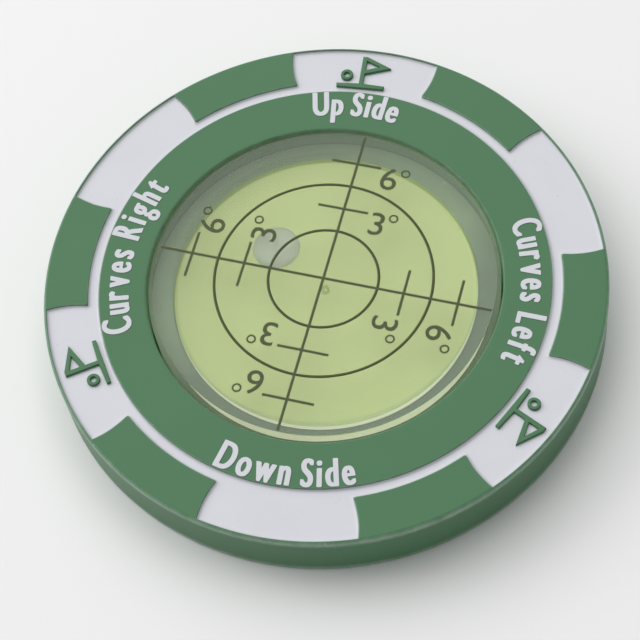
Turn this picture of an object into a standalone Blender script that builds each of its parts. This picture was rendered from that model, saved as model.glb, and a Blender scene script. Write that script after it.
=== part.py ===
"""Golf ball marker: a die-cast chip with enamel fills and a round bubble level set in its middle.

Units are metres. +Z is up through the dial, +Y points at the segment that carries the first
emblem, and the origin is the centre of the back face.
"""

import math

import bmesh
import bpy
from mathutils import Matrix, Vector

MM = 0.001

# ---- Casting -------------------------------------------------------------------------------
CHIP_RADIUS = 20.0 * MM
EDGE_RADIUS = 0.35 * MM  # rounding of the two outer edges
LIP_WIDTH = 0.3 * MM  # thin rim outside the enamel
SEGMENT_WIDTH = 2.9 * MM  # radial length of a raised block
GROOVE_WIDTH = 0.75 * MM  # enamel ring that joins the segments
SEGMENT_COUNT = 6
BLOCK_ANGLE = math.radians(28.0)
BLOCK_WAIST = 0.17 * MM  # how far a block's sides are hollowed
FRONT_RECESS_DEPTH = 0.6 * MM
BACK_RECESS_DEPTH = 0.45 * MM
BACK_FLOOR = 1.4 * MM  # metal left under the vial

# ---- Enamel --------------------------------------------------------------------------------
FRONT_ENAMEL_SETBACK = 0.25 * MM  # enamel surface below the casting's face
BACK_ENAMEL_SETBACK = 0.12 * MM

# ---- Emblems: a flag, its hole line and a ball, raised in every other segment --------------
EMBLEM_MARGIN = 0.5 * MM  # enamel left inside and outside an emblem
EMBLEM_EVERY = 2
EMBLEM_BALL_RADIUS = 0.17  # this and the outlines below are shares of the emblem's height
EMBLEM_BALL_PLACE = (-0.42, 0.38)
EMBLEM_FLAG = (
    (-0.7, 0.0),
    (0.7, 0.0),
    (0.7, 0.11),
    (0.07, 0.11),
    (0.07, 0.44),
    (0.74, 0.72),
    (0.07, 1.0),
    (-0.05, 1.0),
    (-0.05, 0.11),
    (-0.7, 0.11),
)

# ---- Vial ----------------------------------------------------------------------------------
VIAL_RADIUS = 12.5 * MM
VIAL_WALL = 1.6 * MM
VIAL_FLOOR = 0.5 * MM
LIQUID_UNDER = 0.3 * MM  # liquid left under the bubble where the chamber is lowest
DOME_RADIUS = 97.0 * MM  # 3 and 6 degrees of tilt carry the bubble to the two marks
LENS_THICKNESS = 0.6 * MM  # over the dome's top
LENS_FLANGE = 0.9 * MM
LENS_PROUD = 0.15 * MM  # lens above the casting's face
LENS_BEVEL = 0.3 * MM
FLOOR_FILLET = 0.4 * MM
PORT_RADIUS = 0.4 * MM  # filling hole in the vial's floor
ADHESIVE_WIDTH = 1.55 * MM  # glued ring round the reflector disc, under the vial's edge
DISC_THICKNESS = 0.2 * MM

# ---- Bubble --------------------------------------------------------------------------------
BUBBLE_RADIUS = 1.7 * MM
BUBBLE_HEIGHT = 0.8 * MM
BUBBLE_REACH = 4.6 * MM  # how far off the middle it lies at rest
BUBBLE_BEARING = math.radians(57.5)  # anticlockwise from +Y

# ---- Clearances ----------------------------------------------------------------------------
SEAT_GAP = 0.1 * MM  # between pieces that touch or are glued
POCKET_GAP = 0.15 * MM  # round the vial in its pocket

# ---- Sizes that follow ---------------------------------------------------------------------
RECESS_OUTER = CHIP_RADIUS - LIP_WIDTH
BLOCK_INNER = RECESS_OUTER - SEGMENT_WIDTH
GROOVE_INNER = BLOCK_INNER - GROOVE_WIDTH
POCKET_RADIUS = VIAL_RADIUS + POCKET_GAP
ADHESIVE_INNER = VIAL_RADIUS - ADHESIVE_WIDTH
DISC_RADIUS = ADHESIVE_INNER - SEAT_GAP
DISC_BASE = BACK_FLOOR + SEAT_GAP
VIAL_BASE = DISC_BASE + DISC_THICKNESS + SEAT_GAP
CHAMBER_FLOOR = VIAL_BASE + VIAL_FLOOR
CHAMBER_RADIUS = VIAL_RADIUS - VIAL_WALL
DOME_RISE = DOME_RADIUS - math.sqrt(DOME_RADIUS**2 - CHAMBER_RADIUS**2)
CHAMBER_DEPTH = LIQUID_UNDER + BUBBLE_HEIGHT + 2 * SEAT_GAP + DOME_RISE
DOME_TOP = CHAMBER_FLOOR + CHAMBER_DEPTH
LENS_TOP = DOME_TOP + LENS_THICKNESS
FACE_HEIGHT = LENS_TOP - LENS_PROUD
FLANGE_BASE = LENS_TOP - LENS_FLANGE
DOME_CENTRE = DOME_TOP - DOME_RADIUS
BUBBLE_ORBIT = DOME_RADIUS - SEAT_GAP - BUBBLE_HEIGHT / 2

TURN_STEPS = 96
FINE_STEPS = 16
BUBBLE_STEPS = 24
ARC_POINTS = 7
BEND_POINTS = 4


def make_material(name, colour, roughness, metallic=0.0, alpha=1.0):
    material = bpy.data.materials.new(name)
    material.use_nodes = True
    shader = material.node_tree.nodes["Principled BSDF"]
    shader.inputs["Base Color"].default_value = (*colour, 1.0)
    shader.inputs["Roughness"].default_value = roughness
    shader.inputs["Metallic"].default_value = metallic
    shader.inputs["Alpha"].default_value = alpha
    return material


def make_collection(name):
    collection = bpy.data.collections.new(name)
    bpy.context.scene.collection.children.link(collection)
    return collection


def add_object(name, data, collection, material=None):
    piece = bpy.data.objects.new(name, data)
    collection.objects.link(piece)
    if material:
        data.materials.append(material)
    return piece


def turned(name, profile, material, closed=False, steps=TURN_STEPS):
    """Turns (radius, height) points about Z. They run down the outer side, top to bottom."""
    mesh = bpy.data.meshes.new(name)
    points = [(radius, 0.0, height) for radius, height in profile]
    edges = [(i, i + 1) for i in range(len(points) - 1)]
    if closed:
        edges.append((len(points) - 1, 0))
    mesh.from_pydata(points, edges, [])
    piece = add_object(name, mesh, PARTS, material)
    screw = piece.modifiers.new("Turn", "SCREW")
    screw.steps = steps
    screw.render_steps = steps
    screw.use_merge_vertices = True
    screw.merge_threshold = 0.001 * MM
    screw.use_smooth_shade = True
    return piece


def flat_solid(name, loops, low, high, collection, material=None):
    """A flat outline with holes, filled and raised between two heights, as one welded mesh."""
    curve = bpy.data.curves.new(name, "CURVE")
    curve.dimensions = "2D"
    curve.fill_mode = "BOTH"
    curve.extrude = (high - low) / 2
    for loop in loops:
        spline = curve.splines.new("POLY")
        spline.points.add(len(loop) - 1)
        for point, (x, y) in zip(spline.points, loop):
            point.co = (x, y, 0.0, 1.0)
        spline.use_cyclic_u = True
    drawn = bpy.data.objects.new(name, curve)
    PARTS.objects.link(drawn)
    graph = bpy.context.evaluated_depsgraph_get()
    mesh = bpy.data.meshes.new_from_object(drawn.evaluated_get(graph))
    bpy.data.objects.remove(drawn)
    bpy.data.curves.remove(curve)
    built = bmesh.new()
    built.from_mesh(mesh)
    bmesh.ops.remove_doubles(built, verts=built.verts, dist=0.0001 * MM)
    bmesh.ops.recalc_face_normals(built, faces=built.faces)
    built.to_mesh(mesh)
    built.free()
    mesh.name = name
    piece = add_object(name, mesh, collection, material)
    piece.location.z = (low + high) / 2
    return piece


def cut(piece, cutter):
    cutter.hide_render = True
    cutter.display_type = "WIRE"
    boolean = piece.modifiers.new(cutter.name, "BOOLEAN")
    boolean.operation = "DIFFERENCE"
    boolean.solver = "EXACT"
    boolean.object = cutter


def polar(radius, bearing):
    """A point at a bearing measured clockwise from +Y."""
    return (radius * math.sin(bearing), radius * math.cos(bearing))


def circle(radius, count, centre=(0.0, 0.0)):
    turns = [2 * math.pi * i / count for i in range(count)]
    return [(centre[0] + radius * math.sin(a), centre[1] + radius * math.cos(a)) for a in turns]


def quarter():
    """The angles along a rounded edge."""
    return [math.pi / 2 * i / (BEND_POINTS - 1) for i in range(BEND_POINTS)]


def arc(radius, start, end, count):
    return [polar(radius, start + (end - start) * i / (count - 1)) for i in range(count)]


def offset_loop(loop, distance):
    """Moves a clockwise loop's sides by a distance, outwards when it is positive."""
    moved = []
    for i, here in enumerate(loop):
        before = Vector(here) - Vector(loop[i - 1])
        after = Vector(loop[(i + 1) % len(loop)]) - Vector(here)
        out_before = Vector((-before.y, before.x)).normalized()
        out_after = Vector((-after.y, after.x)).normalized()
        mitre = (out_before + out_after).normalized()
        reach = distance / max(mitre.dot(out_before), 0.3)
        moved.append((here[0] + mitre.x * reach, here[1] + mitre.y * reach))
    return moved


def recess_outline():
    """The recess's outer edge: six segments that widen out of the groove, between the blocks."""
    pitch = 2 * math.pi / SEGMENT_COUNT
    half = (pitch - BLOCK_ANGLE) / 2
    loop = []
    for k in range(SEGMENT_COUNT):
        middle = k * pitch
        side = []
        for i in range(ARC_POINTS):
            share = i / (ARC_POINTS - 1)
            radius = BLOCK_INNER + SEGMENT_WIDTH * share
            swell = 4 * BLOCK_WAIST * share * (1 - share)
            side.append((radius, half + swell / radius))
        loop += [polar(radius, middle - angle) for radius, angle in side]
        loop += arc(RECESS_OUTER, middle - half, middle + half, 2 * ARC_POINTS)[1:-1]
        loop += [polar(radius, middle + angle) for radius, angle in reversed(side)]
        loop += arc(BLOCK_INNER, middle + half, middle + pitch - half, ARC_POINTS)[1:-1]
    return loop


def emblem_loops(bearing):
    """An emblem's outlines, bent round the chip at one bearing, as clockwise loops."""
    height = RECESS_OUTER - GROOVE_INNER - 2 * EMBLEM_MARGIN
    base = GROOVE_INNER + EMBLEM_MARGIN
    middle = base + height / 2
    shapes = [list(reversed(EMBLEM_FLAG)), circle(EMBLEM_BALL_RADIUS, 16, EMBLEM_BALL_PLACE)]
    loops = []
    for shape in shapes:
        loops.append([polar(base + y * height, bearing + x * height / middle) for x, y in shape])
    return loops


def make_casting(material):
    """The chip: rounded outer edges, a pocket for the vial and a patterned recess on each face."""
    turns = quarter()
    inner = CHIP_RADIUS - EDGE_RADIUS
    upper = FACE_HEIGHT - EDGE_RADIUS
    top_edge = [(inner + EDGE_RADIUS * math.sin(a), upper + EDGE_RADIUS * math.cos(a)) for a in turns]
    low_edge = [(inner + EDGE_RADIUS * math.cos(a), EDGE_RADIUS * (1 - math.sin(a))) for a in turns]
    profile = [(0.0, BACK_FLOOR), (POCKET_RADIUS, BACK_FLOOR), (POCKET_RADIUS, FACE_HEIGHT)]
    profile += top_edge + low_edge + [(0.0, 0.0)]
    chip = turned("chip_body", profile, material)
    outline = recess_outline()
    groove = circle(GROOVE_INNER, TURN_STEPS)
    emblems = []
    for k in range(0, SEGMENT_COUNT, EMBLEM_EVERY):
        emblems += emblem_loops(2 * math.pi * k / SEGMENT_COUNT)
    past = 2 * EDGE_RADIUS
    front_floor = FACE_HEIGHT - FRONT_RECESS_DEPTH
    front = [outline, groove] + emblems
    cut(chip, flat_solid("front_recess", front, front_floor, FACE_HEIGHT + past, CUTTERS))
    cut(chip, flat_solid("back_recess", [outline, groove], -past, BACK_RECESS_DEPTH, CUTTERS))
    return chip


def make_enamel(material):
    """The two fills: each is the recess drawn in by the seat gap, the front one round the emblems."""
    outer = offset_loop(recess_outline(), -SEAT_GAP)
    inner = circle(GROOVE_INNER + SEAT_GAP, TURN_STEPS)
    holes = []
    for k in range(0, SEGMENT_COUNT, EMBLEM_EVERY):
        loops = emblem_loops(2 * math.pi * k / SEGMENT_COUNT)
        holes += [offset_loop(loop, SEAT_GAP) for loop in loops]
    front_low = FACE_HEIGHT - FRONT_RECESS_DEPTH + SEAT_GAP
    front_high = FACE_HEIGHT - FRONT_ENAMEL_SETBACK
    back_high = BACK_RECESS_DEPTH - SEAT_GAP
    flat_solid("front_enamel", [outer, inner] + holes, front_low, front_high, PARTS, material)
    flat_solid("back_enamel", [outer, inner], BACK_ENAMEL_SETBACK, back_high, PARTS, material)


def dome_height(radius, drop=0.0):
    """Height of the dome, or of a surface a distance under it, at a radius from the middle."""
    return DOME_CENTRE + math.sqrt((DOME_RADIUS - drop) ** 2 - radius**2)


def make_vial(clear, white, glue):
    """The level's own pieces, stacked on the pocket's floor and turned about the chip's axis."""
    disc_top = DISC_BASE + DISC_THICKNESS
    disc = [(0.0, disc_top), (DISC_RADIUS, disc_top), (DISC_RADIUS, DISC_BASE), (0.0, DISC_BASE)]
    turned("reflector_disc", disc, white)
    ring = [
        (VIAL_RADIUS, disc_top),
        (VIAL_RADIUS, DISC_BASE),
        (ADHESIVE_INNER, DISC_BASE),
        (ADHESIVE_INNER, disc_top),
    ]
    turned("adhesive_ring", ring, glue, closed=True)
    turns = quarter()
    bend = CHAMBER_RADIUS - FLOOR_FILLET
    fillet = [(bend + FLOOR_FILLET * math.sin(a), FLOOR_FILLET * (1 - math.cos(a))) for a in turns]
    cup = [
        (VIAL_RADIUS, FLANGE_BASE - SEAT_GAP),
        (VIAL_RADIUS, VIAL_BASE),
        (PORT_RADIUS, VIAL_BASE),
        (PORT_RADIUS, CHAMBER_FLOOR),
    ]
    cup += [(radius, CHAMBER_FLOOR + rise) for radius, rise in fillet]
    cup.append((CHAMBER_RADIUS, FLANGE_BASE - SEAT_GAP))
    turned("vial_cup", cup, clear, closed=True)
    plug = PORT_RADIUS - SEAT_GAP
    stopper = [(0.0, CHAMBER_FLOOR), (plug, CHAMBER_FLOOR), (plug, VIAL_BASE), (0.0, VIAL_BASE)]
    turned("fill_plug", stopper, clear, steps=FINE_STEPS)
    spigot = CHAMBER_RADIUS - SEAT_GAP
    lens = [
        (0.0, LENS_TOP),
        (VIAL_RADIUS - LENS_BEVEL, LENS_TOP),
        (VIAL_RADIUS, LENS_TOP - LENS_BEVEL),
        (VIAL_RADIUS, FLANGE_BASE),
        (spigot, FLANGE_BASE),
    ]
    ceiling = [spigot * (1 - i / ARC_POINTS) for i in range(ARC_POINTS + 1)]
    lens += [(radius, dome_height(radius)) for radius in ceiling]
    turned("vial_lens", lens, clear)


def make_filling(liquid_material, bubble_material):
    """The liquid, low enough for the bubble to pass over it, and the bubble under the dome."""
    swirl = bpy.data.objects.new("swirl_axis", None)
    PARTS.objects.link(swirl)
    swirl.rotation_euler.z = BUBBLE_BEARING
    drop = BUBBLE_HEIGHT + 2 * SEAT_GAP
    edge = CHAMBER_RADIUS - FLOOR_FILLET
    base = CHAMBER_FLOOR + SEAT_GAP
    film = [edge * i / ARC_POINTS for i in range(ARC_POINTS + 1)]
    surface = [(radius, dome_height(radius, drop)) for radius in film]
    liquid = turned("vial_liquid", surface + [(edge, base), (0.0, base)], liquid_material)
    liquid.parent = swirl
    arc_axis = bpy.data.objects.new("bubble_axis", None)
    PARTS.objects.link(arc_axis)
    arc_axis.parent = swirl
    arc_axis.location.z = DOME_CENTRE
    arc_axis.rotation_euler.x = -math.asin(BUBBLE_REACH / BUBBLE_ORBIT)
    mesh = bpy.data.meshes.new("air_bubble")
    built = bmesh.new()
    rows = BUBBLE_STEPS // 2
    bmesh.ops.create_uvsphere(built, u_segments=BUBBLE_STEPS, v_segments=rows, radius=BUBBLE_RADIUS)
    flatten = Matrix.Diagonal((1.0, 1.0, BUBBLE_HEIGHT / (2 * BUBBLE_RADIUS), 1.0))
    bmesh.ops.transform(built, matrix=flatten, verts=built.verts)
    built.to_mesh(mesh)
    built.free()
    mesh.shade_smooth()
    bubble = add_object("air_bubble", mesh, PARTS, bubble_material)
    bubble.parent = arc_axis
    bubble.location.z = BUBBLE_ORBIT


for old in list(bpy.data.objects):
    bpy.data.objects.remove(old)

PARTS = make_collection("golf_ball_marker")
CUTTERS = make_collection("cutters")

make_casting(make_material("green_paint", (0.075, 0.225, 0.115), 0.38))
make_enamel(make_material("white_enamel", (0.72, 0.72, 0.78), 0.3))
make_vial(
    make_material("clear_acrylic", (0.9, 0.93, 0.88), 0.05, alpha=0.3),
    make_material("white_film", (0.85, 0.87, 0.8), 0.6),
    make_material("adhesive", (0.7, 0.75, 0.6), 0.4, alpha=0.6),
)
make_filling(
    make_material("tinted_spirit", (0.52, 0.62, 0.22), 0.05, alpha=0.5),
    make_material("air", (0.85, 0.88, 0.8), 0.05, alpha=0.35),
)
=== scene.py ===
import math

import bmesh
import bpy
from mathutils import Matrix, Vector
from mathutils.geometry import delaunay_2d_cdt, interpolate_bezier


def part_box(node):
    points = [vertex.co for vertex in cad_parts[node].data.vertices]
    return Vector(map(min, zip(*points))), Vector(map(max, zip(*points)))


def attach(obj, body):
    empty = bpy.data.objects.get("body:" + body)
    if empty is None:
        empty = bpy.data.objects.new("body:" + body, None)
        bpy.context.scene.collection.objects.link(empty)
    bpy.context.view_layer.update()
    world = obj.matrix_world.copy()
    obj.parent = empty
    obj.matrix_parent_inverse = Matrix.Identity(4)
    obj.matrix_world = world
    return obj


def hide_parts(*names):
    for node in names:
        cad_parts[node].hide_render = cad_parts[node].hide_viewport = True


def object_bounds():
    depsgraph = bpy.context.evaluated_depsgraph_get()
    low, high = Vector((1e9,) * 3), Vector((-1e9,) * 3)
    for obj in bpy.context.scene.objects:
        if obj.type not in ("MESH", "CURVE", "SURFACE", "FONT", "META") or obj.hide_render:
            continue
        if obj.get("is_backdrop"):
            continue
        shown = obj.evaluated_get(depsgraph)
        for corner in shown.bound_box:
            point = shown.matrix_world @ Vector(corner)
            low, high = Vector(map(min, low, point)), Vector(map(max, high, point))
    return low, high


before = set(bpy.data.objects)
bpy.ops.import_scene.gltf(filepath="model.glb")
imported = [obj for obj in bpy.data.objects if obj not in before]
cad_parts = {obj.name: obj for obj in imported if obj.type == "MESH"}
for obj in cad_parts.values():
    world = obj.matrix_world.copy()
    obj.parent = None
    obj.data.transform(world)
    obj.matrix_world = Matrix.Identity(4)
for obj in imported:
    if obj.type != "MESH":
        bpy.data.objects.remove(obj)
cad_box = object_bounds()

# ---- The casting -----------------------------------------------------------------------------
# A zinc chip, die-cast in one piece and sprayed satin green. Six blocks and a wide word ring stand
# level on its face, with recesses for enamel between them and a round pocket for the level.
# One sixth of its skin is a sheet of quads whose heights follow a rule, turned round six times.
MM = 0.001
SEAT_GAP = 0.1 * MM
CHIP_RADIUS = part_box("chip_body")[1].x
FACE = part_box("chip_body")[1].z
POCKET_GAP = 0.15 * MM  # round the vial in its pocket
POCKET_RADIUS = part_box("vial_lens")[1].x + POCKET_GAP
POCKET_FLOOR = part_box("reflector_disc")[0].z - SEAT_GAP
POCKET_FILLET = 0.2 * MM
POCKET_EDGE = 0.12 * MM
RIM_EDGE = 0.26 * MM
LIP_WIDTH = 0.22 * MM  # thin rim outside the enamel
RECESS_OUTER = CHIP_RADIUS - LIP_WIDTH
BLOCK_LENGTH = 2.98 * MM  # along the chip's radius
BLOCK_INNER = RECESS_OUTER - BLOCK_LENGTH
GROOVE_WIDTH = 0.75 * MM  # enamel ring inside the blocks
GROOVE_INNER = BLOCK_INNER - GROOVE_WIDTH
BLOCK_ANGLE = math.radians(28.0)
BLOCK_EDGE = 0.09 * MM
BLOCK_CORNER = 0.2 * MM
BLOCK_WAIST = 0.17 * MM  # how far a block's sides are hollowed
RECESS_WALL = 0.03 * MM  # how far the near-upright walls lean out
FRONT_DEPTH = 0.6 * MM
BACK_DEPTH = 0.45 * MM
SECTORS = 6
PITCH = 2 * math.pi / SECTORS
HALF_SEGMENT = (PITCH - BLOCK_ANGLE) / 2
NEAR = 0.6 * MM  # how far either side of a block's edge the sheet's lines stay parallel to it
CORE = 8 * MM  # inside this radius the sheet's lines run straight to the middle
WORD_ROWS = [POCKET_RADIUS + 0.4 * MM, 14.0 * MM, 15.0 * MM]  # rows across the word ring
TINY = 0.002 * MM
# Widths of the lighter paint along the edges. It is partly real wear and partly a painted highlight.
WEAR_AND_HIGHLIGHT_RIM = 0.3 * MM  # how far the paint is rubbed thin and painted lighter as a highlight, in from the rim
WEAR_AND_HIGHLIGHT_POCKET = 0.16 * MM
WEAR_AND_HIGHLIGHT_BLOCK = 0.12 * MM  # either side of a block's rounded edge


class Wire:
    """An output socket that takes part in sums: each operator adds a Math node to its tree."""

    def __init__(self, tree, socket=None):
        self.tree = tree
        self.socket = socket

    def add(self, kind, settings=None, sockets=None, out=0):
        """Adds any other node: its settings first, then the values or links of its sockets."""
        node = self.tree.nodes.new(kind)
        for name, value in (settings or {}).items():
            setattr(node, name, value)
        for key, value in (sockets or {}).items():
            for one in value if isinstance(value, list) else [value]:
                if isinstance(one, Wire):
                    self.tree.links.new(one.socket, node.inputs[key])
                else:
                    node.inputs[key].default_value = one
        return Wire(self.tree, node.outputs[out]) if node.outputs else None

    def sum(self, operation, *values, clamp=False):
        """Adds a Math node on any values or wires."""
        settings = {"operation": operation, "use_clamp": clamp}
        return self.add("ShaderNodeMath", settings, dict(enumerate(values)))

    def __add__(self, other):
        return self.sum("ADD", self, other)

    def __radd__(self, other):
        return self.sum("ADD", other, self)

    def __sub__(self, other):
        return self.sum("SUBTRACT", self, other)

    def __rsub__(self, other):
        return self.sum("SUBTRACT", other, self)

    def __mul__(self, other):
        return self.sum("MULTIPLY", self, other)

    def __rmul__(self, other):
        return self.sum("MULTIPLY", other, self)

    def __truediv__(self, other):
        return self.sum("DIVIDE", self, other)

    def __pow__(self, other):
        return self.sum("POWER", self, other)

    def most(self, other):
        return self.sum("MAXIMUM", self, other)

    def least(self, other):
        return self.sum("MINIMUM", self, other)

    def clamped(self):
        return self.sum("ADD", self, 0.0, clamp=True)


def new_tree(name, sizes):
    """A geometry node tree with a geometry each way and the named sizes as its inputs."""
    tree = bpy.data.node_groups.new(name, "GeometryNodeTree")
    tree.interface.new_socket("Geometry", in_out="INPUT", socket_type="NodeSocketGeometry")
    for size in sizes:
        tree.interface.new_socket(size, in_out="INPUT", socket_type="NodeSocketFloat")
    tree.interface.new_socket("Geometry", in_out="OUTPUT", socket_type="NodeSocketGeometry")
    return Wire(tree)


def take(root, name):
    """One of the tree's named inputs."""
    return root.add("NodeGroupInput", out=name)


def parts_of(vector):
    """The x, y and z wires of a vector wire."""
    split = vector.tree.nodes.new("ShaderNodeSeparateXYZ")
    vector.tree.links.new(vector.socket, split.inputs[0])
    return [Wire(vector.tree, output) for output in split.outputs]


def joined(root, x, y, z):
    return root.add("ShaderNodeCombineXYZ", sockets={"X": x, "Y": y, "Z": z})


def turned_copies(root, shape, count):
    """Instances of a shape, spread evenly round the chip's axis and turned to face outwards."""
    points = root.add("GeometryNodeMeshLine", sockets={"Count": count, "Offset": (0.0, 0.0, 0.0)})
    angle = root.add("GeometryNodeInputIndex") * (-2 * math.pi / count)
    turn = root.add("FunctionNodeEulerToRotation", sockets={"Euler": joined(root, 0.0, 0.0, angle)})
    sockets = {"Points": points, "Instance": shape, "Rotation": turn}
    return root.add("GeometryNodeInstanceOnPoints", sockets=sockets)


def close_tree(root, shape, material):
    """Ends a tree: instances made real, their seams merged, and one material set."""
    real = root.add("GeometryNodeRealizeInstances", sockets={"Geometry": shape})
    merged = root.add("GeometryNodeMergeByDistance", sockets={"Geometry": real, "Distance": TINY / 4})
    finished = root.add("GeometryNodeSetMaterial", sockets={"Geometry": merged, "Material": material})
    root.add("NodeGroupOutput", sockets={"Geometry": finished})


def run_tree(name, mesh, root, sizes):
    """Runs a tree on a mesh and keeps what it makes as a plain mesh."""
    piece = bpy.data.objects.new(name, mesh)
    bpy.context.scene.collection.objects.link(piece)
    modifier = piece.modifiers.new(root.tree.name, "NODES")
    modifier.node_group = root.tree
    for item in root.tree.interface.items_tree:
        if item.in_out == "INPUT" and item.name in sizes:
            modifier[item.identifier] = sizes[item.name]
    graph = bpy.context.evaluated_depsgraph_get()
    seen = piece.evaluated_get(graph)
    made = bpy.data.meshes.new_from_object(seen, preserve_all_data_layers=True, depsgraph=graph)
    piece.modifiers.remove(modifier)
    piece.data = made
    made.name = name
    return piece


def smooth(mesh, degrees=35.0):
    """Smooth shading, but for edges sharper than an angle."""
    mesh.shade_smooth()
    mesh.set_sharp_from_angle(angle=math.radians(degrees))


def new_material(name, even, varying):
    """A Principled material: even values go on its sockets, and varying(root) gives the links."""
    material = bpy.data.materials.new(name)
    material.use_nodes = True
    shader = material.node_tree.nodes["Principled BSDF"]
    for socket, value in even.items():
        shader.inputs[socket].default_value = value
    for socket, wire in varying(Wire(material.node_tree)).items():
        material.node_tree.links.new(wire.socket, shader.inputs[socket])
    return material


def blend_colours(root, share, first, second):
    """Mixes two colours by a share. Either may be a wire or a plain colour."""
    settings = {"data_type": "RGBA", "clamp_factor": True}
    wires = [one if isinstance(one, Wire) else (*one, 1.0) for one in (first, second)]
    return root.add("ShaderNodeMix", settings, {0: share, 6: wires[0], 7: wires[1]}, out=2)


def mottle(root, size, detail=2.0, roughness=0.5):
    """Soft random spots about as big as a size, from 0 to 1."""
    place = root.add("ShaderNodeTexCoord", out="Object")
    sockets = {"Vector": place, "Scale": 1 / size, "Detail": detail, "Roughness": roughness}
    return root.add("ShaderNodeTexNoise", sockets=sockets)


def bumped(root, height, depth):
    return root.add("ShaderNodeBump", sockets={"Height": height, "Distance": depth})


def green_paint(root):
    """Sprayed paint: cloudy in tone, orange-peeled, and lighter along every edge, partly from rubbing and
    partly as a painted highlight.
    """
    cloud = mottle(root, 7 * MM, 3.0)
    grain = mottle(root, 0.22 * MM)
    rim = root.add("ShaderNodeAttribute", {"attribute_name": "rim"}, out="Fac")
    wear_and_highlight = (rim * (0.45 + mottle(root, 0.8 * MM, 4.0, 0.65)) - 0.4).clamped()
    nick = ((mottle(root, 0.5 * MM, 3.0, 0.7) - 0.66) * 14.0).clamped() * (rim * 1.6 - 0.5).clamped()
    colour = blend_colours(root, cloud, (0.0515, 0.166, 0.07), (0.0655, 0.2, 0.0865))
    # Lighter edges: real rubbed paint and a painted highlight together.
    colour = blend_colours(root, wear_and_highlight * 0.8, colour, (0.32, 0.46, 0.35))
    colour = blend_colours(root, nick, colour, (0.46, 0.5, 0.46))
    height = grain * 0.6 + mottle(root, 1.4 * MM) * 0.4
    return {
        "Base Color": colour,
        "Roughness": 0.36 + 0.12 * cloud - 0.08 * wear_and_highlight,
        "Normal": bumped(root, height, 0.012 * MM),
    }


def sheet(name, rows, columns, place):
    """A sheet of quads. They look up where rows run outwards and columns run clockwise."""
    mesh = bpy.data.meshes.new(name)
    wide = len(columns)
    faces = []
    for i in range(len(rows) - 1):
        for first in range(i * wide, i * wide + wide - 1):
            faces.append((first, first + 1, first + wide + 1, first + wide))
    mesh.from_pydata([place(row, column) for row in rows for column in columns], [], faces)
    return mesh


def apart(values, least):
    """Sorted values without those that lie closer than a least distance."""
    kept = []
    for value in sorted(values):
        if not kept or value - kept[-1] > least:
            kept.append(value)
    return kept


def block_swell(radius):
    """How far a block's hollow side has drawn back at a radius."""
    share = min(max((radius - BLOCK_INNER) / (RECESS_OUTER - BLOCK_INNER), 0.0), 1.0)
    return 4 * BLOCK_WAIST * share * (1 - share)


def sector_point(radius, height, column):
    """A point of one sixth of the chip. Lines near a block's side keep their distance from it."""
    near, far, side = column
    reference = max(radius, CORE)
    angle = HALF_SEGMENT + (near + block_swell(radius) * (1 - abs(far))) / reference
    if far < 0:
        angle += far * (HALF_SEGMENT - NEAR / reference)
    else:
        angle += far * (PITCH / 2 - HALF_SEGMENT - NEAR / reference)
    return (side * radius * math.sin(angle), radius * math.cos(angle), height)


# Where rows and columns lie: closely over each rounded edge, and beside the walls.
EDGE_BENDS = [1 - math.cos(math.pi / 2 * i / 6) for i in range(7)]
BESIDE = [-NEAR, -0.3 * MM, -0.15 * MM, -0.08 * MM, -RECESS_WALL]
BESIDE += [BLOCK_EDGE * bend for bend in EDGE_BENDS] + [0.13 * MM, 0.2 * MM, 0.3 * MM, NEAR]
half_columns = [(-NEAR, -i / 8, 1) for i in range(8, 0, -1)]
half_columns += [(near, 0.0, 1) for near in BESIDE]
half_columns += [(NEAR, i / 7, 1) for i in range(1, 8)]
SECTOR_COLUMNS = [(near, far, -1) for near, far, side in reversed(half_columns[1:])] + half_columns

face_radii = [POCKET_RADIUS + POCKET_EDGE * bend for bend in EDGE_BENDS]
face_radii += WORD_ROWS
face_radii += [GROOVE_INNER - near for near in BESIDE]
face_radii += [BLOCK_INNER + near for near in BESIDE]
face_radii += [BLOCK_INNER + 0.5 * MM * i for i in range(2, 5)]
face_radii += [RECESS_OUTER + near for near in BESIDE if near < 0.1 * MM]
face_radii += [CHIP_RADIUS - RIM_EDGE * bend for bend in EDGE_BENDS]
face_radii = apart(face_radii, TINY / 2)
face_radii[-1] = CHIP_RADIUS

fillet = [(bend, math.sqrt(1 - (1 - bend) ** 2)) for bend in EDGE_BENDS]
casting_rows = [(0.0, POCKET_FLOOR, 0), (POCKET_RADIUS / 2, POCKET_FLOOR, 0)]
for bend, reach in reversed(fillet):
    radius = POCKET_RADIUS - POCKET_FILLET * bend
    casting_rows.append((radius, POCKET_FLOOR + POCKET_FILLET * (1 - reach), 0))
casting_rows += [(radius, FACE, 1) for radius in face_radii]
casting_rows += [(CHIP_RADIUS, FACE - RIM_EDGE - (FACE - 2 * RIM_EDGE) * i / 6, 0) for i in range(1, 6)]
casting_rows += [(radius, 0.0, -1) for radius in reversed(face_radii)]
casting_rows += [(POCKET_RADIUS * i / 5, 0.0, -1) for i in range(4, -1, -1)]


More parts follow.
